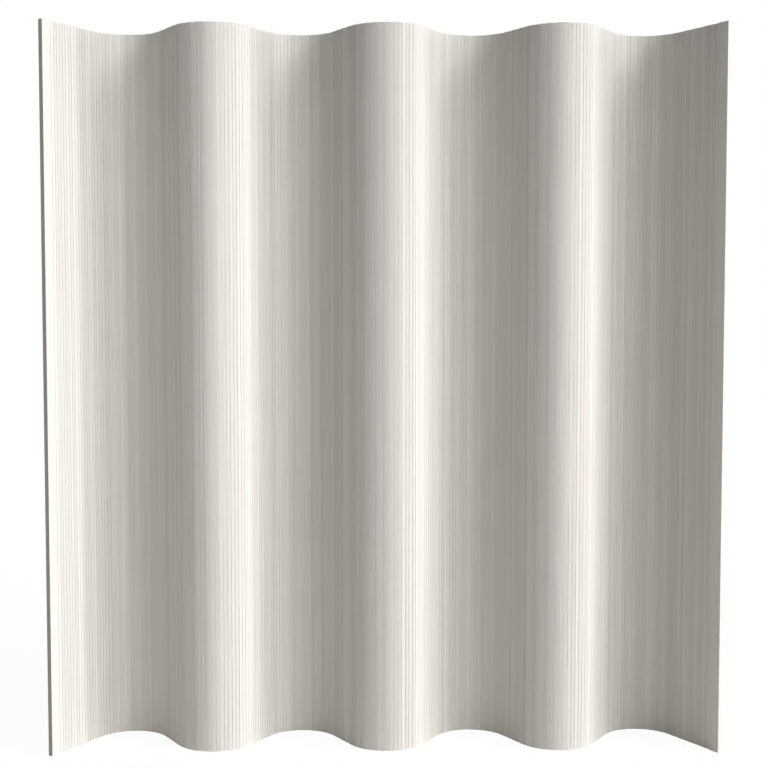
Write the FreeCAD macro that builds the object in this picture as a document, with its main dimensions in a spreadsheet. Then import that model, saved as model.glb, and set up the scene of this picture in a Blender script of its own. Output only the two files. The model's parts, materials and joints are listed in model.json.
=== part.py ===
import FreeCAD, Part
import Sketcher
import math
import os

# A roll-up bamboo screen that stands in a wave. Narrow upright slats lie side by side: each has
# a round nose on its right edge, which sits in the cove of the next slat, so that every pair
# turns like a hinge. Cords run sideways through all the slats and end inside two stiles.
# Lengths are in millimetres and angles in degrees. Height is along Z, and the front faces -Y.

SIZES = {
    "screen_height": 1950,
    # One slat, seen from above: the distance between its two hinge axes, and its section.
    "slat_pitch": 10.7,
    "slat_thickness": 9,
    "nose_radius": 6,
    "joint_clearance": 0.3,
    "cove_mouth": 8.2,
    "lip_land": 0.2,
    # Slats are counted in groups, and each group keeps its own bend. A stile takes the place of
    # the first slat and of the last one.
    "group_count": 46,
    "slats_per_group": 5,
    # The closing strip at each end: its thicker section slopes down to the slats at the joint.
    "stile_face": 32.4,
    "stile_thickness": 13.5,
    "stile_slope": 2.5,
    "stile_round": 0.6,
    # Cords, and the bores that they run in. From the hinge axis to the nose a bore flares.
    "cord_count": 5,
    "cord_inset": 100,
    "cord_diameter": 2,
    "bore_diameter": 3.2,
    "flare_slope": 0.27,
    # What ends a cord inside a stile: a ferrule on the floor of a pocket, closed by a plug.
    "pocket_diameter": 5.4,
    "pocket_depth": 10,
    "ferrule_diameter": 4.4,
    "ferrule_length": 6,
    "plug_length": 3,
    "fit_clearance": 0.05,
    # The wave that the screen stands in: straight runs joined by bends to either side.
    "bend_count": 7,
    "bend_radius": 110,
    "bend_angle": 117,
    "flank_length": 92,
    "left_run": 193,
}

# Lengths that follow from the sizes, as formulas: how far the nose's edge and the cove's edge
# lie from the hinge axis, and how far each stile reaches from the axis to its plain outer edge.
HALF = "(Sizes.slat_thickness / 2)"
NOSE_EDGE = f"sqrt(Sizes.nose_radius ^ 2 - {HALF} ^ 2)"
COVE_EDGE = "sqrt((Sizes.nose_radius + Sizes.joint_clearance) ^ 2 - (Sizes.cove_mouth / 2) ^ 2)"
LIP_EDGE = f"({COVE_EDGE} + Sizes.lip_land)"
STILE_HALF = "(Sizes.stile_thickness / 2)"
LEFT_REACH = f"(Sizes.stile_face - {NOSE_EDGE})"
RIGHT_REACH = f"(Sizes.stile_face + {LIP_EDGE})"
NOSE_TIP = "Sizes.nose_radius"
BORE = "Sizes.bore_diameter / 2"
FLARE = f"{BORE} + Sizes.nose_radius * Sizes.flare_slope"
POCKET = "Sizes.pocket_diameter / 2"
ON_AXIS = "0"

doc = FreeCAD.newDocument("BambooScreen")
sheet = doc.addObject("Spreadsheet::Sheet", "Sizes")
for row, (alias, value) in enumerate(SIZES.items(), start=1):
    sheet.set(f"A{row}", alias)
    sheet.set(f"B{row}", str(value))
    sheet.setAlias(f"B{row}", alias)
doc.recompute()


def worth(formula):
    """The value of a formula in the sheet's names."""
    return float(sheet.evalExpression(formula))


def size(alias):
    return float(sheet.get(alias))


def count(alias):
    return int(sheet.get(alias))


# Strips: slats and stiles


def new_sketch(body, name, plane):
    sketch = body.newObject("Sketcher::SketchObject", name)
    support = [feature for feature in body.Origin.OriginFeatures if feature.Role == plane]
    sketch.AttachmentSupport = [(support[0], "")]
    sketch.MapMode = "FlatFace"
    return sketch


def bind_point(sketch, element, point, **formulas):
    """Hold one point of a sketch element at the formulas for DistanceX and DistanceY."""
    for kind, formula in formulas.items():
        place = sketch.addConstraint(Sketcher.Constraint(kind, -1, 1, element, point, worth(formula)))
        sketch.setExpression(f"Constraints[{place}]", formula)


def draw_outline(sketch, corners, arcs):
    """Join corners, given as pairs of formulas, in a loop. A side is a line, or an arc where arcs
    gives that side's centre and whether it runs anticlockwise."""
    points = [FreeCAD.Vector(worth(x), worth(y), 0) for x, y in corners]
    first_point, last_point, centre_point = 1, 2, 3
    starts = []
    ends = []
    for side, start in enumerate(points):
        end = points[(side + 1) % len(points)]
        starts.append(first_point)
        ends.append(last_point)
        if side not in arcs:
            sketch.addGeometry(Part.LineSegment(start, end))
            continue
        centre_x, centre_y, anticlockwise = arcs[side]
        centre = FreeCAD.Vector(worth(centre_x), worth(centre_y), 0)
        circle = Part.Circle(centre, FreeCAD.Vector(0, 0, 1), centre.distanceToPoint(start))
        if not anticlockwise:
            start, end = end, start
            starts[side], ends[side] = last_point, first_point
        sketch.addGeometry(Part.ArcOfCircle(circle, circle.parameter(start), circle.parameter(end)))
    for side, (x, y) in enumerate(corners):
        before = (side - 1) % len(corners)
        sketch.addConstraint(
            Sketcher.Constraint("Coincident", before, ends[before], side, starts[side])
        )
        bind_point(sketch, side, starts[side], DistanceX=x, DistanceY=y)
    for side, (centre_x, centre_y, anticlockwise) in arcs.items():
        bind_point(sketch, side, centre_point, DistanceX=centre_x)


def make_strip(name, corners, arcs, bore):
    """An upright strip: its outline seen from above, raised to the screen's height, with one bore
    for each cord. The bore is given as pairs of place along the strip and radius."""
    body = doc.addObject("PartDesign::Body", name)
    outline = new_sketch(body, f"{name}Outline", "XY_Plane")
    draw_outline(outline, corners, arcs)
    pad = body.newObject("PartDesign::Pad", f"{name}Pad")
    pad.Profile = outline
    pad.setExpression("Length", "Sizes.screen_height")
    doc.recompute()

    half_bore = new_sketch(body, f"{name}Bore", "XZ_Plane")
    half_bore.setExpression("AttachmentOffset.Base.y", "Sizes.cord_inset")
    draw_outline(half_bore, [(bore[0][0], ON_AXIS), (bore[-1][0], ON_AXIS)] + bore[::-1], {})
    groove = body.newObject("PartDesign::Groove", f"{name}Groove")
    groove.Profile = half_bore
    groove.ReferenceAxis = (half_bore, ["H_Axis"])
    groove.Angle = 360
    doc.recompute()

    rows = body.newObject("PartDesign::LinearPattern", f"{name}Rows")
    rows.Originals = [groove]
    rows.Direction = (outline, ["N_Axis"])
    rows.setExpression("Length", "Sizes.screen_height - 2 * Sizes.cord_inset")
    rows.setExpression("Occurrences", "Sizes.cord_count")
    body.Tip = rows
    doc.recompute()
    print(f"{name}: {pad.Shape.Volume:.0f} mm3 raised, {body.Shape.Volume:.0f} mm3 bored")
    return body


def make_slat():
    """A slat, with the axis of its cove at the origin and the axis of its nose one pitch on."""
    nose_axis = "Sizes.slat_pitch"
    nose_edge = f"{nose_axis} + {NOSE_EDGE}"
    corners = [
        (LIP_EDGE, f"-{HALF}"),
        (nose_edge, f"-{HALF}"),
        (nose_edge, HALF),
        (LIP_EDGE, HALF),
        (COVE_EDGE, "Sizes.cove_mouth / 2"),
        (COVE_EDGE, "-Sizes.cove_mouth / 2"),
    ]
    arcs = {1: (nose_axis, ON_AXIS, True), 4: (ON_AXIS, ON_AXIS, False)}
    bore = [(ON_AXIS, BORE), (nose_axis, BORE), (f"{nose_axis} + {NOSE_TIP}", FLARE)]
    return make_strip("Slat", corners, arcs, bore)


def make_left_stile():
    """The strip at the left end: a plain edge with rounded corners, and a nose at the origin."""
    edge = f"-{LEFT_REACH}"
    slope_x = f"{NOSE_EDGE} - Sizes.stile_slope"
    round_x = f"{edge} + Sizes.stile_round"
    round_y = f"{STILE_HALF} - Sizes.stile_round"
    corners = [
        (round_x, f"-{STILE_HALF}"),
        (slope_x, f"-{STILE_HALF}"),
        (NOSE_EDGE, f"-{HALF}"),
        (NOSE_EDGE, HALF),
        (slope_x, STILE_HALF),
        (round_x, STILE_HALF),
        (edge, round_y),
        (edge, f"-({round_y})"),
    ]
    arcs = {
        2: (ON_AXIS, ON_AXIS, True),
        5: (round_x, round_y, True),
        7: (round_x, f"-({round_y})", True),
    }
    floor = f"{edge} + Sizes.pocket_depth"
    bore = [
        (f"{edge} - Sizes.joint_clearance", POCKET),
        (floor, POCKET),
        (floor, BORE),
        (ON_AXIS, BORE),
        (NOSE_TIP, FLARE),
    ]
    return make_strip("LeftStile", corners, arcs, bore)


def make_right_stile():
    """The strip at the right end: a cove about the origin, and a plain edge, corners rounded."""
    edge = RIGHT_REACH
    slope_x = f"{LIP_EDGE} + Sizes.stile_slope"
    round_x = f"{edge} - Sizes.stile_round"
    round_y = f"{STILE_HALF} - Sizes.stile_round"
    corners = [
        (LIP_EDGE, f"-{HALF}"),
        (slope_x, f"-{STILE_HALF}"),
        (round_x, f"-{STILE_HALF}"),
        (edge, f"-({round_y})"),
        (edge, round_y),
        (round_x, STILE_HALF),
        (slope_x, STILE_HALF),
        (LIP_EDGE, HALF),
        (COVE_EDGE, "Sizes.cove_mouth / 2"),
        (COVE_EDGE, "-Sizes.cove_mouth / 2"),
    ]
    arcs = {
        2: (round_x, f"-({round_y})", True),
        4: (round_x, round_y, True),
        8: (ON_AXIS, ON_AXIS, False),
    }
    floor = f"{edge} - Sizes.pocket_depth"
    bore = [
        (ON_AXIS, BORE),
        (floor, BORE),
        (floor, POCKET),
        (f"{edge} + Sizes.joint_clearance", POCKET),
    ]
    return make_strip("RightStile", corners, arcs, bore)


slat = make_slat()
left_stile = make_left_stile()
right_stile = make_right_stile()

# The wave, seen from above

per_group = count("slats_per_group")
slat_count = count("group_count") * per_group - 2
left_reach = worth(LEFT_REACH)
right_reach = worth(RIGHT_REACH)
flat_length = left_reach + slat_count * size("slat_pitch") + right_reach
bend_turn = math.radians(size("bend_angle"))


def wave_runs():
    """The wave from its left end, as lengths with the angle that each turns through. The last
    run takes what is left of the screen."""
    runs = [(size("left_run"), 0)]
    for bend in range(count("bend_count")):
        turn = bend_turn if bend % 2 else -bend_turn
        runs.append((size("bend_radius") * bend_turn, turn))
        runs.append((size("flank_length"), 0))
    runs.pop()
    runs.append((flat_length - sum(length for length, turn in runs), 0))
    return runs


def step_along(point, heading, length, turn):
    """The point and the heading after a straight or evenly turning stretch."""
    chord = length
    if turn:
        chord = length * math.sin(turn / 2) / (turn / 2)
    along = heading + turn / 2
    ahead = FreeCAD.Vector(math.cos(along), math.sin(along), 0) * chord
    return point + ahead, heading + turn


def wave_point(distance):
    """The point and the heading of the wave at a distance from its left end."""
    point = FreeCAD.Vector(0, 0, 0)
    heading = bend_turn / 2
    for length, turn in wave_runs():
        here = min(distance, length)
        point, heading = step_along(point, heading, here, turn * here / length)
        distance -= here
    return point, heading


def upright(point, heading):
    return FreeCAD.Placement(point, FreeCAD.Rotation(FreeCAD.Vector(0, 0, 1), math.degrees(heading)))


def strip_places():
    """Where the strips stand: the left stile, every slat on its chord of the wave, and the right
    stile, each by its own hinge axis."""
    axes = [wave_point(left_reach + index * size("slat_pitch")) for index in range(slat_count + 1)]
    places = [upright(*axes[0])]
    for (here, heading), (there, next_heading) in zip(axes, axes[1:]):
        chord = there - here
        places.append(upright(here, math.atan2(chord.y, chord.x)))
    places.append(upright(*axes[-1]))
    return places


def plan_centre(places):
    """The middle of the screen's outline on the floor."""
    outlines = ["LeftStileOutline"] + ["SlatOutline"] * slat_count + ["RightStileOutline"]
    box = FreeCAD.BoundBox()
    for name, place in zip(outlines, places):
        shape = doc.getObject(name).Shape.copy()
        shape.Placement = place
        box.add(shape.optimalBoundingBox(False, False))
    return FreeCAD.Vector(box.Center.x, box.Center.y, 0)


places = strip_places()
to_middle = FreeCAD.Placement(-plan_centre(places), FreeCAD.Rotation())
left_place, *slat_places, right_place = [to_middle * place for place in places]

# Sub-parts, each under the label of its own file

sub_parts = []


def add_copies(label, piece, copy_places):
    """A sub-part made of like pieces: one copy of the piece at each place."""
    copies = doc.addObject("App::Link", label)
    copies.LinkedObject = piece
    copies.ShowElement = False
    copies.ElementCount = len(copy_places)
    copies.PlacementList = copy_places
    copies.Label = label
    sub_parts.append(copies)


def place_stile(label, stile, place):
    stile.Label = label
    stile.Placement = place
    sub_parts.append(stile)


def first_slat(group):
    """A group's first slat. The group past the last one gives the end of the row."""
    return min(max(group * per_group - 1, 0), slat_count)


place_stile("left_stile", left_stile, left_place)
for group in range(count("group_count")):
    own_places = slat_places[first_slat(group):first_slat(group + 1)]
    add_copies(f"slats_{group + 1:02d}", slat, own_places)
place_stile("right_stile", right_stile, right_place)

# Cords, with their ferrules and plugs

row_step = (size("screen_height") - 2 * size("cord_inset")) / max(count("cord_count") - 1, 1)
row_heights = [size("cord_inset") + row * row_step for row in range(count("cord_count"))]
ferrule_start = size("pocket_depth") - size("ferrule_length")
along_x = FreeCAD.Rotation(FreeCAD.Vector(0, 0, 1), FreeCAD.Vector(1, 0, 0))


def cord_route():
    """A cord's middle line: the wave's runs and bends, from inside one ferrule to the other."""
    edges = []
    walked = 0
    for length, turn in wave_runs():
        first = max(walked, ferrule_start)
        last = min(walked + length, flat_length - ferrule_start)
        walked += length
        start, middle, end = [
            to_middle.multVec(wave_point(place)[0]) for place in (first, (first + last) / 2, last)
        ]
        if turn:
            edges.append(Part.Arc(start, middle, end).toShape())
        else:
            edges.append(Part.LineSegment(start, end).toShape())
    return Part.Wire(edges)


def make_ferrule():
    """A crimped sleeve, lying along X from the origin."""
    body = doc.addObject("PartDesign::Body", "Ferrule")
    ring = new_sketch(body, "FerruleRing", "YZ_Plane")
    bore = "Sizes.cord_diameter / 2 + Sizes.fit_clearance"
    for circle, radius in enumerate(("Sizes.ferrule_diameter / 2", bore)):
        ring.addGeometry(Part.Circle(FreeCAD.Vector(0, 0, 0), FreeCAD.Vector(0, 0, 1), worth(radius)))
        ring.addConstraint(Sketcher.Constraint("Coincident", circle, 3, -1, 1))
        place = ring.addConstraint(Sketcher.Constraint("Radius", circle, worth(radius)))
        ring.setExpression(f"Constraints[{place}]", radius)
    pad = body.newObject("PartDesign::Pad", "FerrulePad")
    pad.Profile = ring
    pad.setExpression("Length", "Sizes.ferrule_length")
    doc.recompute()
    return body


def make_plug():
    """A round wooden plug, standing on the origin until it is laid along its bore."""
    plug = doc.addObject("Part::Cylinder", "Plug")
    plug.setExpression("Radius", f"{POCKET} - Sizes.fit_clearance")
    plug.setExpression("Height", "Sizes.plug_length")
    return plug


def in_rows(stile_place, along, rotation):
    """One place in each cord's row, at a distance from the stile's hinge axis."""
    return [
        stile_place * FreeCAD.Placement(FreeCAD.Vector(along, 0, height), rotation)
        for height in row_heights
    ]


route = doc.addObject("Part::Feature", "CordRoute")
route.Shape = cord_route()
section = doc.addObject("Part::Circle", "CordSection")
section.setExpression("Radius", "Sizes.cord_diameter / 2")
route_start, route_heading = wave_point(ferrule_start)
section.Placement = to_middle * upright(route_start, route_heading) * FreeCAD.Placement(
    FreeCAD.Vector(0, 0, 0), along_x
)
cord = doc.addObject("Part::Sweep", "Cord")
cord.Sections = [section]
cord.Spine = route
cord.Solid = True
doc.recompute()
cord_length = route.Shape.Length
plain_volume = math.pi * size("cord_diameter") ** 2 / 4 * cord_length
print(f"cord: {cord_length:.1f} mm long, section times length {plain_volume:.1f} mm3")
print(f"cord: {cord.Shape.Volume:.1f} mm3 as swept")

for row, height in enumerate(row_heights, start=1):
    add_copies(f"cord_{row}", cord, [FreeCAD.Placement(FreeCAD.Vector(0, 0, height), FreeCAD.Rotation())])

ferrule = make_ferrule()
plug = make_plug()
doc.recompute()
lying = FreeCAD.Rotation()
pocket_floor = right_reach - size("pocket_depth")
add_copies("left_ferrules", ferrule, in_rows(left_place, ferrule_start - left_reach, lying))
add_copies("right_ferrules", ferrule, in_rows(right_place, pocket_floor, lying))
add_copies("left_plugs", plug, in_rows(left_place, -left_reach, along_x))
add_copies("right_plugs", plug, in_rows(right_place, right_reach - size("plug_length"), along_x))
doc.recompute()

# Every object must have recomputed, and every sub-part must be a sound shape, before any is written.

failed = [thing.Label for thing in doc.Objects if {"Invalid", "Error"} & set(thing.State)]
shapes = {part.Label: Part.getShape(part) for part in sub_parts}
unsound = [label for label, shape in shapes.items() if shape.isNull() or not shape.isValid()]
if failed or unsound:
    raise RuntimeError(f"failed objects {failed}, unsound shapes {unsound}")

os.makedirs("parts", exist_ok=True)
for label, shape in shapes.items():
    shape.exportStep(f"parts/{label}.step")
print(f"{len(shapes)} sub-parts, flat length {flat_length:.1f} mm")
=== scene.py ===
import json
import math
import random

import bmesh
import bpy
from mathutils import Matrix, Vector

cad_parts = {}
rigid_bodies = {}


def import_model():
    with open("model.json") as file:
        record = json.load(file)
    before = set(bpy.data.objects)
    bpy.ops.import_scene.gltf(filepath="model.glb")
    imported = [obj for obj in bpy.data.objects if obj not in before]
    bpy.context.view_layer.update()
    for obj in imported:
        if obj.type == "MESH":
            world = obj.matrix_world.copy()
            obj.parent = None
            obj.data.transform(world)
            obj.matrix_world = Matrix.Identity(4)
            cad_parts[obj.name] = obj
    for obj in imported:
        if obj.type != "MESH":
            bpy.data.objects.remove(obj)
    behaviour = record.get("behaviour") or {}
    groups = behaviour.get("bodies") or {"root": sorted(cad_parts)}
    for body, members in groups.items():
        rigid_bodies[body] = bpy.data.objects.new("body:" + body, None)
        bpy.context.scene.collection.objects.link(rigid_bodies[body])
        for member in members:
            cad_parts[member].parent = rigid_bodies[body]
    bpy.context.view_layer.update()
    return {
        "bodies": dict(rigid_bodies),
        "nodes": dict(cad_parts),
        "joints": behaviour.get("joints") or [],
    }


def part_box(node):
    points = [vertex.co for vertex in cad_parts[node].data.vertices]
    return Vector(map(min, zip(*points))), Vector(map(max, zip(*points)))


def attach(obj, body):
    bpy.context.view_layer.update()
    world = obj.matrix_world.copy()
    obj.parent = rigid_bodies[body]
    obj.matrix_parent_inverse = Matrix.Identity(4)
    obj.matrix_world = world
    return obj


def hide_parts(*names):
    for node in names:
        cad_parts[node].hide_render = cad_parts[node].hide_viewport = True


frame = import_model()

# Slats
# Narrow upright strips of split bamboo, planed to one section and whitewashed. Each has a round
# nose along its right edge and a cove along its left, and neighbours turn in each other like a
# hinge. They hang together on cords through their middles and stand on their lower ends.

slat_pitch = 0.0107
slat_thickness = 0.009
stile_low, stile_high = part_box("left_stile")
slat_height = stile_high.z - stile_low.z
nose_radius = 0.006
cove_radius = 0.0063
cove_mouth = 0.0082
lip_land = 0.0002
edge_ease = 0.00015
end_ease = 0.0005
round_steps = 4
slats_per_group = 5
group_names = sorted(name for name in frame["bodies"] if name.startswith("group_"))

half = slat_thickness / 2
nose_edge = math.sqrt(nose_radius ** 2 - half ** 2)
nose_angle = math.asin(half / nose_radius)
cove_edge = math.sqrt(cove_radius ** 2 - (cove_mouth / 2) ** 2)
cove_angle = math.asin(cove_mouth / 2 / cove_radius)
lip_edge = cove_edge + lip_land

# The screen stands in a wave of straight runs and even bends, and takes up its whole length. A
# wide stile stands at each end, in the place of the first and of the last slat.
stile_face = 0.0324
left_reach = stile_face - nose_edge
right_reach = stile_face + lip_edge
slat_count = slats_per_group * len(group_names) - 2
flat_length = left_reach + slat_count * slat_pitch + right_reach
left_run = 0.193
bend_count = 7
bend_radius = 0.110
bend_turn = math.radians(117)
flank_length = 0.092


def wave_runs():
    """The wave from its left end, as lengths with the angle that each turns through."""
    runs = [(left_run, 0)]
    for bend in range(bend_count):
        runs.append((bend_radius * bend_turn, bend_turn if bend % 2 else -bend_turn))
        runs.append((flank_length, 0))
    runs.pop()
    runs.append((flat_length - sum(length for length, turn in runs), 0))
    return runs


def wave_point(distance):
    """The point and the heading of the wave at a distance from its left end."""
    point = Vector((0, 0, 0))
    heading = bend_turn / 2
    for length, turn in wave_runs():
        here = min(distance, length)
        bend = turn * here / length
        chord = here * math.sin(bend / 2) / (bend / 2) if bend else here
        point += chord * Vector((math.cos(heading + bend / 2), math.sin(heading + bend / 2), 0))
        heading += bend
        distance -= here
    return point, heading


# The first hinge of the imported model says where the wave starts.
first_hinge = Vector(next(j["pos_m"] for j in frame["joints"] if j["name"] == "left_stile_hinge"))
wave_start = Vector((first_hinge.x, first_hinge.y, 0)) - wave_point(left_reach)[0]
hinge_line = [wave_point(left_reach + index * slat_pitch) for index in range(slat_count + 1)]


def upright(point, heading):
    """Where a piece stands that starts at a point of the wave and lies along a heading."""
    return Matrix.Translation(wave_start + point) @ Matrix.Rotation(heading, 4, "Z")


def own_slats(number):
    """The slats of a group, counted from the left stile."""
    ends = (number * slats_per_group - 1, (number + 1) * slats_per_group - 1)
    return range(max(ends[0], 0), min(ends[1], slat_count))


def slat_place(index):
    """A slat stands on the chord between its two hinges."""
    here, there = hinge_line[index][0], hinge_line[index + 1][0]
    chord = there - here
    return upright(here, math.atan2(chord.y, chord.x))


def start_piece(name):
    """A flat square to model a new piece from, alone in the selection and in edit mode."""
    bpy.ops.object.select_all(action="DESELECT")
    bpy.ops.mesh.primitive_plane_add(size=1)
    piece = bpy.context.active_object
    piece.name = name
    piece.data.name = name
    bpy.ops.object.mode_set(mode="EDIT")
    return piece


def select(piece, kind, wanted):
    """Select just the vertices, edges or faces of a piece that a test picks out."""
    mesh = bmesh.from_edit_mesh(piece.data)
    mesh.normal_update()
    bpy.context.tool_settings.mesh_select_mode = [kind == "verts", kind == "edges", kind == "faces"]
    for group in (mesh.verts, mesh.edges, mesh.faces):
        for part in group:
            part.select = False
    for part in getattr(mesh, kind):
        if wanted(part):
            part.select_set(True)
    mesh.select_flush_mode()
    bmesh.update_edit_mesh(piece.data)


same_place = 1e-6


def near(a, b):
    return abs(a - b) < same_place


def stands_at(edge, x):
    return near(edge.verts[0].co.x, x) and near(edge.verts[1].co.x, x)


def lies_flat(edge):
    return near(edge.verts[0].co.z, edge.verts[1].co.z)


def lay_outline(piece, left, right, thickness, open_ends):
    """Stretch the square to a strip's outline, and open the ends that get a nose or a cove."""
    bpy.ops.transform.resize(value=(right - left, thickness, 1), center_override=(0, 0, 0))
    bpy.ops.transform.translate(value=((left + right) / 2, 0, 0))
    bpy.ops.mesh.delete(type="ONLY_FACE")
    select(piece, "edges", lambda edge: any(stands_at(edge, x) for x in open_ends))
    bpy.ops.mesh.delete(type="EDGE")


def corner_at(x, y):
    return lambda vert: near(vert.co.x, x) and near(vert.co.y, y)


def turn_nose(piece, axis_x):
    """Spin the front corner round the hinge axis to the back one."""
    select(piece, "verts", corner_at(axis_x + nose_edge, -half))
    bpy.ops.mesh.spin(
        steps=round_steps, angle=-2 * nose_angle, center=(axis_x, 0, 0), axis=(0, 0, 1)
    )


def hollow_cove(piece):
    """From the front lip step in to the cove, spin across it, and step out to the back lip."""
    step = Vector((cove_edge - lip_edge, half - cove_mouth / 2, 0))
    select(piece, "verts", corner_at(lip_edge, -half))
    bpy.ops.mesh.extrude_region_move(TRANSFORM_OT_translate={"value": step})
    bpy.ops.mesh.spin(steps=round_steps, angle=-2 * cove_angle, center=(0, 0, 0), axis=(0, 0, 1))
    bpy.ops.mesh.extrude_region_move(TRANSFORM_OT_translate={"value": (-step.x, step.y, 0)})


sharp_angle = math.radians(25)


def sharp_corner(edge):
    """A long edge that stands out and would catch a hand."""
    return not lies_flat(edge) and edge.is_convex and edge.calc_face_angle() > sharp_angle


def raise_strip(piece, round_edge=None, corner_round=0.0):
    """Close the outline, raise it to full height, round its plain edge and ease the others."""
    bpy.ops.mesh.select_all(action="SELECT")
    bpy.ops.mesh.remove_doubles(threshold=same_place)
    bpy.ops.mesh.edge_face_add()
    bpy.ops.mesh.extrude_region_move(TRANSFORM_OT_translate={"value": (0, 0, slat_height)})
    bpy.ops.mesh.select_all(action="SELECT")
    bpy.ops.mesh.normals_make_consistent(inside=False)
    if corner_round:
        select(piece, "edges", lambda edge: not lies_flat(edge) and stands_at(edge, round_edge))
        bpy.ops.mesh.bevel(offset=corner_round, segments=round_steps, affect="EDGES")
    select(piece, "edges", sharp_corner)
    bpy.ops.mesh.bevel(offset=edge_ease, segments=1, affect="EDGES")
    select(piece, "edges", lies_flat)
    bpy.ops.mesh.bevel(offset=end_ease, segments=1, affect="EDGES")


square_on = 0.9998


def shade(piece):
    """Shade the rounds smooth, and leave flat what lies square to the strip."""
    select(piece, "faces", lambda face: max(abs(part) for part in face.normal) < square_on)
    bpy.ops.mesh.faces_shade_smooth()


def add_node(tree, kind, sockets, **settings):
    """Place a shader node, set its options, and set or link its inputs."""
    node = tree.nodes.new("ShaderNode" + kind)
    for name, value in settings.items():
        setattr(node, name, value)
    for name, value in sockets.items():
        if isinstance(value, bpy.types.NodeSocket):
            tree.links.new(value, node.inputs[name])
        else:
            node.inputs[name].default_value = value
    return node


def reckon(tree, operation, *values):
    """The result of a Math node."""
    return add_node(tree, "Math", dict(enumerate(values)), operation=operation).outputs[0]


def fade(tree, value, low, high):
    """A smooth step from 0 at low to 1 at high, which may be the smaller of the two."""
    limits = {"Value": value, "From Min": low, "From Max": high}
    return add_node(tree, "MapRange", limits, interpolation_type="SMOOTHSTEP").outputs[0]


def between(tree, share, first, second):
    """A colour that is a share of the way from the first to the second."""
    return add_node(tree, "Mix", {0: share, 6: first, 7: second}, data_type="RGBA").outputs[2]


def new_group(name, inputs, outputs):
    """A node group, with what it is given and what it makes."""
    group = bpy.data.node_groups.new(name, "ShaderNodeTree")
    for socket in inputs:
        group.interface.new_socket(socket, in_out="INPUT", socket_type="NodeSocketFloat")
    for socket in outputs:
        group.interface.new_socket(socket, in_out="OUTPUT", socket_type="NodeSocketFloat")
    given = group.nodes.new("NodeGroupInput").outputs
    made = group.nodes.new("NodeGroupOutput").inputs
    return group, given, made


def drawn(tree, name):
    """What was drawn for each strip and noted on its mesh."""
    return add_node(tree, "Attribute", {}, attribute_name=name).outputs["Fac"]


cane_length = 5.0
streak_fineness = 0.22


def grain_group():
    """Upright fibres, drifts of thick and thin wash, and rings where the cane had its knots. Each
    strip is cut from its own place along the cane."""
    group, given, made = new_group(
        "bamboo_grain",
        ("Fibre Width", "Fibre Length", "Knot Spacing", "Knot Width"),
        ("Fibre", "Streak", "Drift", "Knot"),
    )
    place = add_node(group, "TexCoord", {}).outputs["Object"]
    split = add_node(group, "SeparateXYZ", {"Vector": place}).outputs
    cut_from = reckon(group, "MULTIPLY", drawn(group, "shift"), cane_length)
    height = reckon(group, "ADD", split["Z"], cut_from)
    slender = reckon(group, "DIVIDE", given["Fibre Width"], given["Fibre Length"])

    def strewn(stretch, scale, detail):
        upright_place = add_node(
            group, "CombineXYZ",
            {"X": split["X"], "Y": split["Y"], "Z": reckon(group, "MULTIPLY", height, stretch)},
        ).outputs[0]
        sockets = {"Vector": upright_place, "Scale": scale, "Detail": detail, "Roughness": 0.55}
        return add_node(group, "TexNoise", sockets).outputs["Fac"]

    fine = reckon(group, "DIVIDE", 1.0, given["Fibre Width"])
    coarse = reckon(group, "DIVIDE", streak_fineness, given["Fibre Width"])
    fibre = strewn(stretch=slender, scale=fine, detail=2.0)
    streak = strewn(stretch=slender, scale=coarse, detail=2.0)
    drift = strewn(stretch=0.35, scale=9.0, detail=3.0)
    group.links.new(fade(group, fibre, 0.30, 0.70), made["Fibre"])
    group.links.new(fade(group, streak, 0.32, 0.68), made["Streak"])
    group.links.new(fade(group, drift, 0.30, 0.70), made["Drift"])
    between_rings = reckon(group, "FRACT", reckon(group, "DIVIDE", height, given["Knot Spacing"]))
    off_ring = reckon(group, "ABSOLUTE", reckon(group, "SUBTRACT", between_rings, 0.5))
    away = reckon(group, "MULTIPLY", off_ring, given["Knot Spacing"])
    group.links.new(fade(group, away, given["Knot Width"], 0.0), made["Knot"])
    return group


def bare_group():
    """Where the brush left little wash: inside the joint, and in a thin line along each edge."""
    group, given, made = new_group("bare_edges", ("Face Left", "Face Right", "Line"), ("Bare",))
    across = drawn(group, "across")
    inside = reckon(
        group, "MINIMUM",
        reckon(group, "SUBTRACT", across, given["Face Left"]),
        reckon(group, "SUBTRACT", given["Face Right"], across),
    )
    group.links.new(fade(group, inside, given["Line"], 0.0), made["Bare"])
    return group


bamboo_grain = grain_group()
bare_edges = bare_group()
wash_light = (0.830, 0.801, 0.762, 1)
wash_deep = (0.670, 0.641, 0.602, 1)
bare_bamboo = (0.680, 0.610, 0.510, 1)
wash_roughness = 0.66
fibre_polish = -0.10
tone_share = 0.58
mark_shares = {"Streak": 0.18, "Drift": 0.14, "Fibre": 0.10}
bare_share = 0.10
knot_share = 0.14
knot_height = 3.0


def new_material(name):
    """A material with its tree and its Principled shader."""
    material = bpy.data.materials.new(name)
    material.use_nodes = True
    return material, material.node_tree, material.node_tree.nodes["Principled BSDF"]


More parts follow.
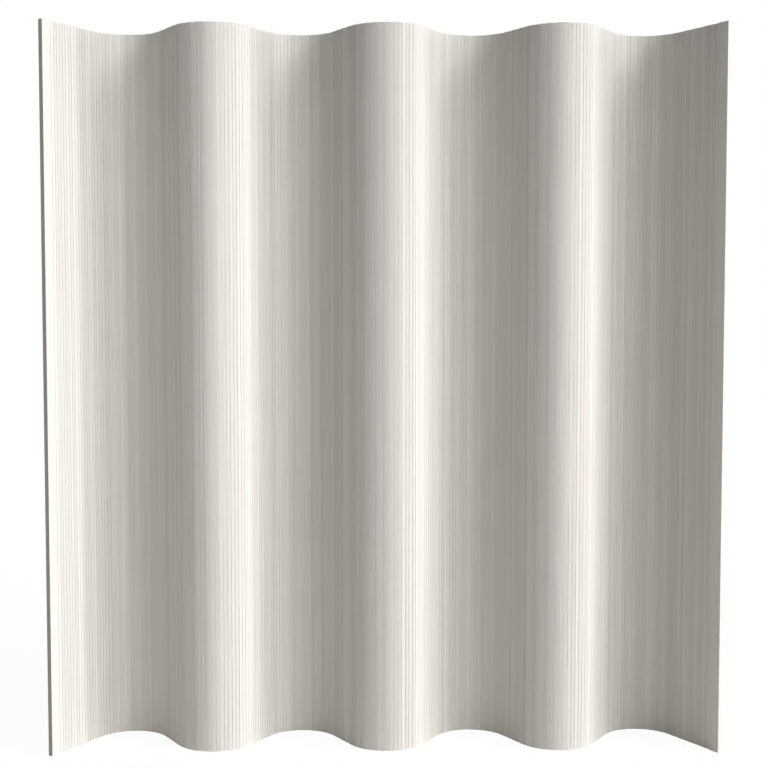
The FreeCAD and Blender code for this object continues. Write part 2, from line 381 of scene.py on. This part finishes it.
def whitewashed(name, face_left, face_right):
    """Matt white wash rubbed into bamboo, so that the fibres show through it."""
    material, tree, shader = new_material(name)
    grain = add_node(
        tree, "Group",
        {"Fibre Width": 0.0008, "Fibre Length": 0.09, "Knot Spacing": 0.34, "Knot Width": 0.004},
        node_tree=bamboo_grain,
    ).outputs
    bare = add_node(
        tree, "Group",
        {"Face Left": face_left, "Face Right": face_right, "Line": 0.0006},
        node_tree=bare_edges,
    ).outputs["Bare"]
    lightness = reckon(tree, "MULTIPLY", drawn(tree, "tone"), tone_share)
    for mark, share in mark_shares.items():
        lightness = reckon(tree, "MULTIPLY_ADD", grain[mark], share, lightness)
    wash = between(tree, lightness, wash_deep, wash_light)
    ring = reckon(tree, "MULTIPLY", grain["Knot"], knot_share)
    thin = reckon(tree, "MAXIMUM", reckon(tree, "MULTIPLY", bare, bare_share), ring)
    tree.links.new(between(tree, thin, wash, bare_bamboo), shader.inputs["Base Color"])
    roughness = reckon(tree, "MULTIPLY_ADD", grain["Fibre"], fibre_polish, wash_roughness)
    tree.links.new(roughness, shader.inputs["Roughness"])
    shader.inputs["Specular IOR Level"].default_value = 0.2
    relief = reckon(tree, "MULTIPLY_ADD", grain["Knot"], knot_height, grain["Fibre"])
    bump = add_node(tree, "Bump", {"Height": relief, "Distance": 0.00006, "Strength": 0.6})
    tree.links.new(bump.outputs["Normal"], shader.inputs["Normal"])
    return material


def end_grain(name, deep, pale, bundle):
    """A sawn end: light ground with the darker dots of the bundles of fibres."""
    material, tree, shader = new_material(name)
    place = add_node(tree, "TexCoord", {}).outputs["Object"]
    bundles = add_node(tree, "TexVoronoi", {"Vector": place, "Scale": 1150.0, "Randomness": 0.8})
    dot = fade(tree, bundles.outputs["Distance"], 0.42, 0.22)
    ground = add_node(tree, "TexNoise", {"Vector": place, "Scale": 300.0, "Detail": 3.0})
    wood = between(tree, ground.outputs["Fac"], (*deep, 1), (*pale, 1))
    tree.links.new(between(tree, dot, wood, (*bundle, 1)), shader.inputs["Base Color"])
    tree.links.new(reckon(tree, "MULTIPLY_ADD", dot, 0.12, 0.70), shader.inputs["Roughness"])
    shader.inputs["Specular IOR Level"].default_value = 0.25
    bump = add_node(tree, "Bump", {"Height": dot, "Distance": 0.00005, "Strength": 0.5})
    tree.links.new(bump.outputs["Normal"], shader.inputs["Normal"])
    return material


bamboo_end_grain = end_grain(
    "bamboo_end_grain", deep=(0.73, 0.68, 0.60), pale=(0.81, 0.77, 0.71), bundle=(0.50, 0.42, 0.32)
)


end_on = 0.9


def finish_strip(piece, material):
    """Wash the long faces, and show the grain on the two sawn ends."""
    piece.data.materials.append(material)
    piece.data.materials.append(bamboo_end_grain)
    select(piece, "faces", lambda face: abs(face.normal.z) > end_on)
    piece.active_material_index = 1
    bpy.ops.object.material_slot_assign()
    bpy.ops.object.mode_set(mode="OBJECT")


def note_across(piece):
    """Note on a strip's mesh how far across the strip each point lies."""
    across = piece.data.attributes.new("across", "FLOAT", "POINT")
    across.data.foreach_set("value", [vert.co.x for vert in piece.data.vertices])


def draw_strip(piece, tone, shift):
    """Note on a strip's mesh what was drawn for it."""
    for name, value in (("tone", tone), ("shift", shift)):
        attribute = piece.data.attributes.new(name, "FLOAT", "POINT")
        attribute.data.foreach_set("value", [value] * len(piece.data.vertices))


def copy_at(model, place):
    """A copy of a model with a mesh of its own, moved within that mesh."""
    copy = model.copy()
    copy.data = model.data.copy()
    copy.data.transform(place)
    bpy.context.collection.objects.link(copy)
    return copy


def join(pieces, name):
    """Make one piece of several, under a new name."""
    bpy.ops.object.select_all(action="DESELECT")
    for piece in pieces:
        piece.select_set(True)
    bpy.context.view_layer.objects.active = pieces[0]
    bpy.ops.object.join()
    pieces[0].name = name
    pieces[0].data.name = name
    return pieces[0]


slat_face = (lip_edge, slat_pitch + nose_edge)
slat = start_piece("slat")
lay_outline(slat, *slat_face, slat_thickness, open_ends=slat_face)
turn_nose(slat, slat_pitch)
hollow_cove(slat)
raise_strip(slat)
shade(slat)
finish_strip(slat, whitewashed("whitewashed_slat", *slat_face))
note_across(slat)

# No two slats are quite alike: each has its own tone, and sits a hair off its true place.
draw = random.Random(46)
greatest_turn = math.radians(0.35)
greatest_slip = 0.00006
greatest_trim = 0.0007


def odd_place():
    """A slat's own small error: a turn about its middle, a slip to the front, and a shorter end."""
    middle = Matrix.Translation((slat_pitch, 0, 0))
    turn = Matrix.Rotation(draw.uniform(-greatest_turn, greatest_turn), 4, "Z")
    slip = Matrix.Translation((0, draw.uniform(-greatest_slip, greatest_slip), 0))
    trim = Matrix.Diagonal((1, 1, 1 - draw.uniform(0, greatest_trim) / slat_height, 1))
    return slip @ middle @ turn @ middle.inverted() @ trim


for number, body in enumerate(group_names):
    slats = []
    for index in own_slats(number):
        slats.append(copy_at(slat, slat_place(index) @ odd_place()))
        draw_strip(slats[-1], tone=draw.random(), shift=draw.random())
    piece = join(slats, body.replace("group", "bamboo_slats"))
    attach(piece, body)
    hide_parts(body.replace("group", "slats"))
bpy.data.objects.remove(slat)

# Cords
# Five thin braided cords run sideways through bores in all the strips and hold them edge to edge.
# They are pulled just tight enough to close the joints, and show nowhere. Each strip carries its
# own stretch of the five.

cord_diameter = 0.002
cord_sides = 8
cord_count = 5
cord_inset = 0.100
cord_step = (slat_height - 2 * cord_inset) / (cord_count - 1)
cord_heights = [cord_inset + row * cord_step for row in range(cord_count)]
pocket_depth = 0.010
ferrule_length = 0.006
cord_end = pocket_depth - ferrule_length
along_x = (0, math.pi / 2, 0)


def cord_stretch(name, start, end):
    """The five cords through one strip, lying along X and open at their ends."""
    tubes = []
    for height in cord_heights:
        bpy.ops.object.select_all(action="DESELECT")
        bpy.ops.mesh.primitive_cylinder_add(
            vertices=cord_sides, radius=cord_diameter / 2, depth=end - start,
            end_fill_type="NOTHING", location=((start + end) / 2, 0, height), rotation=along_x,
        )
        bpy.ops.object.transform_apply(location=True, rotation=True, scale=True)
        bpy.ops.object.shade_smooth()
        tubes.append(bpy.context.active_object)
    stretch = join(tubes, name)
    lay = stretch.data.attributes.new("lay", "FLOAT_VECTOR", "POINT")
    for vert, note in zip(stretch.data.vertices, lay.data):
        row = min(cord_heights, key=lambda height: abs(height - vert.co.z))
        note.vector = (vert.co.x, vert.co.y, vert.co.z - row)
    return stretch


merge_within = cord_diameter / 10


def close_cords(piece):
    """Merge the rings where stretches meet, and close the two ends."""
    bpy.ops.object.mode_set(mode="EDIT")
    bpy.ops.mesh.select_all(action="SELECT")
    bpy.ops.mesh.remove_doubles(threshold=merge_within)
    bpy.ops.mesh.fill_holes(sides=cord_sides)
    bpy.ops.mesh.normals_make_consistent(inside=False)
    bpy.ops.object.mode_set(mode="OBJECT")


yarns_each_way = 4.0
yarn_pitch = 0.0011


def braided_cord():
    """Undyed cord: yarns that wind both ways round it and pass over and under each other."""
    material, tree, shader = new_material("braided_cord")
    lay = add_node(tree, "Attribute", {}, attribute_name="lay").outputs["Vector"]
    along, side, up = add_node(tree, "SeparateXYZ", {"Vector": lay}).outputs
    round_it = reckon(tree, "MULTIPLY", reckon(tree, "ARCTAN2", up, side), yarns_each_way)
    wound = reckon(tree, "MULTIPLY", along, 2 * math.pi / yarn_pitch)
    left_yarn = reckon(tree, "SINE", reckon(tree, "ADD", round_it, wound))
    right_yarn = reckon(tree, "SINE", reckon(tree, "SUBTRACT", round_it, wound))
    over = reckon(tree, "MULTIPLY", left_yarn, right_yarn)
    crown = fade(tree, over, -0.6, 0.6)
    yarn = between(tree, crown, (0.52, 0.48, 0.40, 1), (0.80, 0.76, 0.68, 1))
    tree.links.new(yarn, shader.inputs["Base Color"])
    tree.links.new(reckon(tree, "MULTIPLY_ADD", crown, -0.12, 0.85), shader.inputs["Roughness"])
    bump = add_node(tree, "Bump", {"Height": crown, "Distance": 0.0001, "Strength": 0.8})
    tree.links.new(bump.outputs["Normal"], shader.inputs["Normal"])
    return material


cord_material = braided_cord()
through_slat = cord_stretch("cord_through_slat", 0, slat_pitch)
through_left = cord_stretch("cord_through_left_stile", cord_end - left_reach, 0)
through_right = cord_stretch("cord_through_right_stile", 0, right_reach - cord_end)
cord_runs = {"left_end": [(through_left, upright(*hinge_line[0]))]}
for number, body in enumerate(group_names):
    cord_runs[body] = [(through_slat, slat_place(index)) for index in own_slats(number)]
cord_runs["right_end"] = [(through_right, upright(*hinge_line[-1]))]

# In CAD the five cords are whole and ride on one group, so that group's stretches replace them.
cad_cord_body = "group_24"
for body, run in cord_runs.items():
    stretches = [copy_at(model, place) for model, place in run]
    piece = join(stretches, "cords_" + body.removeprefix("group_"))
    close_cords(piece)
    piece.data.materials.append(cord_material)
    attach(piece, body)
    if body == cad_cord_body:
        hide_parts(*[f"cord_{row + 1}" for row in range(cord_count)])
for model in (through_slat, through_left, through_right):
    bpy.data.objects.remove(model)

# Stiles
# A wider and thicker bamboo strip closes the screen at each end, with a nose or a cove along its
# inner edge. A pocket for each cord is drilled into its plain outer edge, with a bore on through
# the stile. The left stile's outer edge faces away from the lamps, and has grey shade painted
# on its wash.

stile_thickness = 0.0135
stile_slope = 0.0025
stile_round = 0.0006
full_coat = 0.85
# The grey of the shade painted on the left stile's outer edge.
painted_edge_shade = (0.63, 0.62, 0.61, 1)
pocket_diameter = 0.0054
bore_diameter = 0.0032
flare_slope = 0.27
drill_sides = 24
drill_past = 0.001


def slope_down(stile, start_x, end_x):
    """From the stile's own thickness slope down to the slats' thickness, on both faces."""
    for side in (-1, 1):
        select(stile, "verts", corner_at(start_x, side * stile_thickness / 2))
        drop = (end_x - start_x, side * (slat_thickness - stile_thickness) / 2, 0)
        bpy.ops.mesh.extrude_region_move(TRANSFORM_OT_translate={"value": drop})


def paint_edge_shade(material, edge_x):
    """Paint grey shade on a stile's outer edge, out to where its corners are rounded."""
    tree = material.node_tree
    colour = tree.nodes["Principled BSDF"].inputs["Base Color"]
    wash = colour.links[0].from_socket
    inward = reckon(tree, "ABSOLUTE", reckon(tree, "SUBTRACT", drawn(tree, "across"), edge_x))
    # The painted shade is full at the outer edge and gone where the rounding ends.
    shade_share = fade(tree, inward, stile_round, 0.0)
    shaded_wash = add_node(
        tree, "Mix", {0: shade_share, 6: wash, 7: painted_edge_shade}, data_type="RGBA", blend_type="MULTIPLY"
    )
    tree.links.new(shaded_wash.outputs[2], colour)
    return material


def drill(stile, edge_x, inward, bore_length, flare_length=0.0):
    """Cut each cord's pocket and bore with a stepped cutter that lies along X. At the nose the bore
    flares, so that the cord is free to turn with the hinge."""
    flare = 1 + 2 * flare_slope * flare_length / bore_diameter
    cutters = []
    for height in cord_heights:
        bpy.ops.object.select_all(action="DESELECT")
        bpy.ops.mesh.primitive_cylinder_add(
            vertices=drill_sides, radius=pocket_diameter / 2, depth=pocket_depth + drill_past,
            location=(edge_x + inward * (pocket_depth - drill_past) / 2, 0, height),
            rotation=along_x,
        )
        bpy.ops.object.transform_apply(location=True, rotation=True, scale=True)
        cutters.append(bpy.context.active_object)
        bpy.ops.object.mode_set(mode="EDIT")
        select(cutters[-1], "faces", lambda face: face.normal.x * inward > end_on)
        bpy.ops.mesh.inset(thickness=(pocket_diameter - bore_diameter) / 2)
        bpy.ops.mesh.extrude_region_move(
            TRANSFORM_OT_translate={"value": (inward * bore_length, 0, 0)}
        )
        if flare_length:
            bpy.ops.mesh.extrude_region_move(
                TRANSFORM_OT_translate={"value": (inward * flare_length, 0, 0)}
            )
            bpy.ops.transform.resize(value=(1, flare, flare), center_override=(0, 0, height))
        bpy.ops.object.mode_set(mode="OBJECT")
    cutter = join(cutters, "cord_drill")
    bpy.ops.object.select_all(action="DESELECT")
    stile.select_set(True)
    bpy.context.view_layer.objects.active = stile
    cut = stile.modifiers.new("drilled", "BOOLEAN")
    cut.operation = "DIFFERENCE"
    cut.solver = "EXACT"
    cut.object = cutter
    bpy.ops.object.modifier_apply(modifier=cut.name)
    bpy.data.objects.remove(cutter)
    bpy.ops.object.mode_set(mode="EDIT")
    bpy.ops.mesh.select_all(action="SELECT")
    bpy.ops.mesh.remove_doubles(threshold=same_place)
    bpy.ops.object.mode_set(mode="OBJECT")


def stand_stile(stile, body, node, place):
    """Stand a finished stile at its hinge and let it take its CAD node's part."""
    note_across(stile)
    draw_strip(stile, tone=full_coat, shift=draw.random())
    stile.data.transform(place)
    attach(stile, body)
    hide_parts(node)


# A stile's wash runs on round its outer edge, so on that side its face ends nowhere near.
far_off = 1.0

left_stile = start_piece("bamboo_left_stile")
left_shoulder = nose_edge - stile_slope
lay_outline(left_stile, -left_reach, left_shoulder, stile_thickness, open_ends=[left_shoulder])
slope_down(left_stile, left_shoulder, nose_edge)
turn_nose(left_stile, 0)
raise_strip(left_stile, round_edge=-left_reach, corner_round=stile_round)
shade(left_stile)
# The left stile's wash gets painted shade along its outer edge.
left_wash = whitewashed("whitewashed_left_stile", -far_off, nose_edge)
finish_strip(left_stile, paint_edge_shade(left_wash, -left_reach))
left_bore = left_reach - pocket_depth
drill(left_stile, -left_reach, 1, left_bore, flare_length=nose_radius + drill_past)
stand_stile(left_stile, "left_end", "left_stile", upright(*hinge_line[0]))

right_stile = start_piece("bamboo_right_stile")
right_shoulder = lip_edge + stile_slope
lay_outline(right_stile, right_shoulder, right_reach, stile_thickness, open_ends=[right_shoulder])
slope_down(right_stile, right_shoulder, lip_edge)
hollow_cove(right_stile)
raise_strip(right_stile, round_edge=right_reach, corner_round=stile_round)
shade(right_stile)
finish_strip(right_stile, whitewashed("whitewashed_right_stile", lip_edge, far_off))
right_bore = right_reach - pocket_depth - cove_edge
drill(right_stile, right_reach, -1, right_bore)
stand_stile(right_stile, "right_end", "right_stile", upright(*hinge_line[-1]))

# Ferrules
# A short aluminium sleeve is crimped on each cord's end and rests on the floor of its pocket, so
# that the cord can't draw back through the stile.


def crimped_aluminium():
    """Satin aluminium with fine turning marks and the dull dents of the crimping tool."""
    material, tree, shader = new_material("crimped_aluminium")
    place = add_node(tree, "TexCoord", {}).outputs["Object"]
    turning = add_node(tree, "TexNoise", {"Vector": place, "Scale": 2600.0, "Detail": 4.0})
    marks = turning.outputs["Fac"]
    crimping = add_node(tree, "TexNoise", {"Vector": place, "Scale": 420.0})
    dents = fade(tree, crimping.outputs["Fac"], 0.55, 0.70)
    metal = between(tree, marks, (0.66, 0.66, 0.67, 1), (0.80, 0.80, 0.81, 1))
    tree.links.new(between(tree, dents, metal, (0.52, 0.52, 0.54, 1)), shader.inputs["Base Color"])
    tree.links.new(reckon(tree, "MULTIPLY_ADD", marks, 0.25, 0.28), shader.inputs["Roughness"])
    shader.inputs["Metallic"].default_value = 1.0
    bump = add_node(tree, "Bump", {"Height": marks, "Distance": 0.00003, "Strength": 0.5})
    tree.links.new(bump.outputs["Normal"], shader.inputs["Normal"])
    return material


ferrule_material = crimped_aluminium()
for node in ("left_ferrules", "right_ferrules"):
    for slot in frame["nodes"][node].material_slots:
        slot.material = ferrule_material

# Plugs
# A round bamboo plug is glued into the mouth of each pocket and sanded flush with the stile's
# edge. The left ones' end grain is darkened with the same painted shade as the edge round them.

plug_length = 0.003
plug_diameter = 0.0053
plug_ease = 0.0003

bpy.ops.object.select_all(action="DESELECT")
bpy.ops.mesh.primitive_cylinder_add(
    vertices=drill_sides, radius=plug_diameter / 2, depth=plug_length,
    location=(plug_length / 2, 0, 0), rotation=along_x,
)
bpy.ops.object.transform_apply(location=True, rotation=True, scale=True)
plug = bpy.context.active_object
bpy.ops.object.mode_set(mode="EDIT")
select(plug, "edges", lambda edge: stands_at(edge, 0))
bpy.ops.mesh.bevel(offset=plug_ease, segments=2, affect="EDGES")
shade(plug)
bpy.ops.object.mode_set(mode="OBJECT")
# End grain darkened with painted shade, for the plugs in the left stile's edge.
worn_end_grain = end_grain(
    "worn_end_grain", deep=(0.46, 0.43, 0.39), pale=(0.54, 0.52, 0.48), bundle=(0.38, 0.34, 0.28)
)
plug_grain = {"left": worn_end_grain, "right": bamboo_end_grain}

turned_round = Matrix.Rotation(math.pi, 4, "Z")
plug_rows = {
    "left": upright(*hinge_line[0]) @ Matrix.Translation((-left_reach, 0, 0)),
    "right": upright(*hinge_line[-1]) @ Matrix.Translation((right_reach, 0, 0)) @ turned_round,
}
for side, place in plug_rows.items():
    plugs = [copy_at(plug, place @ Matrix.Translation((0, 0, height))) for height in cord_heights]
    piece = join(plugs, f"bamboo_{side}_plugs")
    piece.data.materials.append(plug_grain[side])
    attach(piece, f"{side}_end")
    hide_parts(f"{side}_plugs")
bpy.data.objects.remove(plug)

# Floor
# A plain pale floor that runs out of sight. To the eye it is as white as the backdrop, apart from
# a trace of the screen's own shadow.

floor_width = 24.0
floor_shade = (0.84, 0.84, 0.83, 1)
floor_glow = 1.06
floor_white = 0.88
floor_roughness = 0.7

bpy.ops.object.select_all(action="DESELECT")
bpy.ops.mesh.primitive_plane_add(size=floor_width, location=(0, 0, 0))
floor = bpy.context.active_object
floor.name = "floor"
floor_material, tree, shader = new_material("pale_floor")
shader.inputs["Base Color"].default_value = floor_shade
shader.inputs["Roughness"].default_value = floor_roughness
rays = add_node(tree, "LightPath", {}).outputs


def seen_ray(tree, rays):
    """1 for what the camera sees, straight or by way of gloss or glass."""
    mirrored = reckon(tree, "MAXIMUM", rays["Is Glossy Ray"], rays["Is Transmission Ray"])
    return reckon(tree, "MAXIMUM", rays["Is Camera Ray"], mirrored)


glow = add_node(tree, "Emission", {"Color": (1, 1, 1, 1), "Strength": floor_glow}).outputs[0]
share = reckon(tree, "MULTIPLY", seen_ray(tree, rays), floor_white)
surface = add_node(tree, "MixShader", {0: share, 1: shader.outputs[0], 2: glow}).outputs[0]
tree.links.new(surface, tree.nodes["Material Output"].inputs["Surface"])
floor.data.materials.append(floor_material)

# Light
# Low lamps far out to the right graze the wave and leave each flank half in shade. A high soft
# lamp and a low one at the front right do most of the lighting. A strip lamp stands near the right
# end, one behind lights the back, and a weak one at the left keeps the rest from going dark.

room_level = 0.01

world = bpy.data.worlds.new("white_room")
bpy.context.scene.world = world
world.use_nodes = True
tree = world.node_tree
rays = add_node(tree, "LightPath", {}).outputs
level = reckon(tree, "MULTIPLY_ADD", seen_ray(tree, rays), 1 - room_level, room_level)
tree.nodes["Background"].inputs["Color"].default_value = (1, 1, 1, 1)
tree.links.new(level, tree.nodes["Background"].inputs["Strength"])


def far_lamp(name, bearing, height, width, level):
    """A lamp so far off that its light comes in parallel. Bearings are from +X, widths as seen
    from the screen, all in degrees, and at level 1 a white card that faces it looks white."""
    lamp = bpy.data.objects.new(name, bpy.data.lights.new(name, "SUN"))
    lamp.data.angle = math.radians(width)
    lamp.data.energy = level * math.pi
    tilt = Matrix.Rotation(math.radians(90 - height), 4, "Y")
    lamp.matrix_world = Matrix.Rotation(math.radians(bearing), 4, "Z") @ tilt
    bpy.context.collection.objects.link(lamp)


def strip_lamp(name, place, aim, wide, high, level):
    """A tall lamp near the screen. At level 1 a white card at the place it aims at looks white."""
    lamp = bpy.data.objects.new(name, bpy.data.lights.new(name, "AREA"))
    lamp.data.shape = "RECTANGLE"
    lamp.data.size = wide
    lamp.data.size_y = high
    away = Vector(place) - Vector(aim)
    lamp.data.energy = level * math.pi ** 2 * away.length_squared
    lamp.location = place
    lamp.rotation_euler = away.to_track_quat("Z", "Y").to_euler()
    lamp.visible_camera = False
    bpy.context.collection.objects.link(lamp)


far_lamp("key_light", bearing=-12.5, height=0.5, width=2.2, level=0.12)
far_lamp("glow_light", bearing=-10, height=5.4, width=16, level=0.13)
far_lamp("high_light", bearing=-30, height=29, width=32, level=0.57)
far_lamp("low_light", bearing=-57, height=6, width=24, level=0.31)
far_lamp("left_light", bearing=-175, height=22, width=40, level=0.08)
far_lamp("back_light", bearing=95, height=10, width=50, level=0.50)
strip_lamp(
    "near_light", place=(2.51, -0.79, 1.32), aim=(0.35, 0, 0.975), wide=0.8, high=1.8, level=0.17
)

# Camera
# The screen is seen from the front at chest height, a little from above. A long lens keeps its
# sides almost upright.

camera_place = (-0.0507, -3.7188, 1.2115)
camera_dip = 3.38
camera_turn = -0.705
camera_lens = 64.05
sensor_width = 36

camera = bpy.data.objects.new("camera", bpy.data.cameras.new("camera"))
camera.location = camera_place
camera.rotation_euler = (math.radians(90 - camera_dip), 0, math.radians(camera_turn))
camera.data.lens = camera_lens
camera.data.sensor_width = sensor_width
bpy.context.collection.objects.link(camera)
bpy.context.scene.camera = camera
bpy.context.scene.view_settings.view_transform = "Standard"
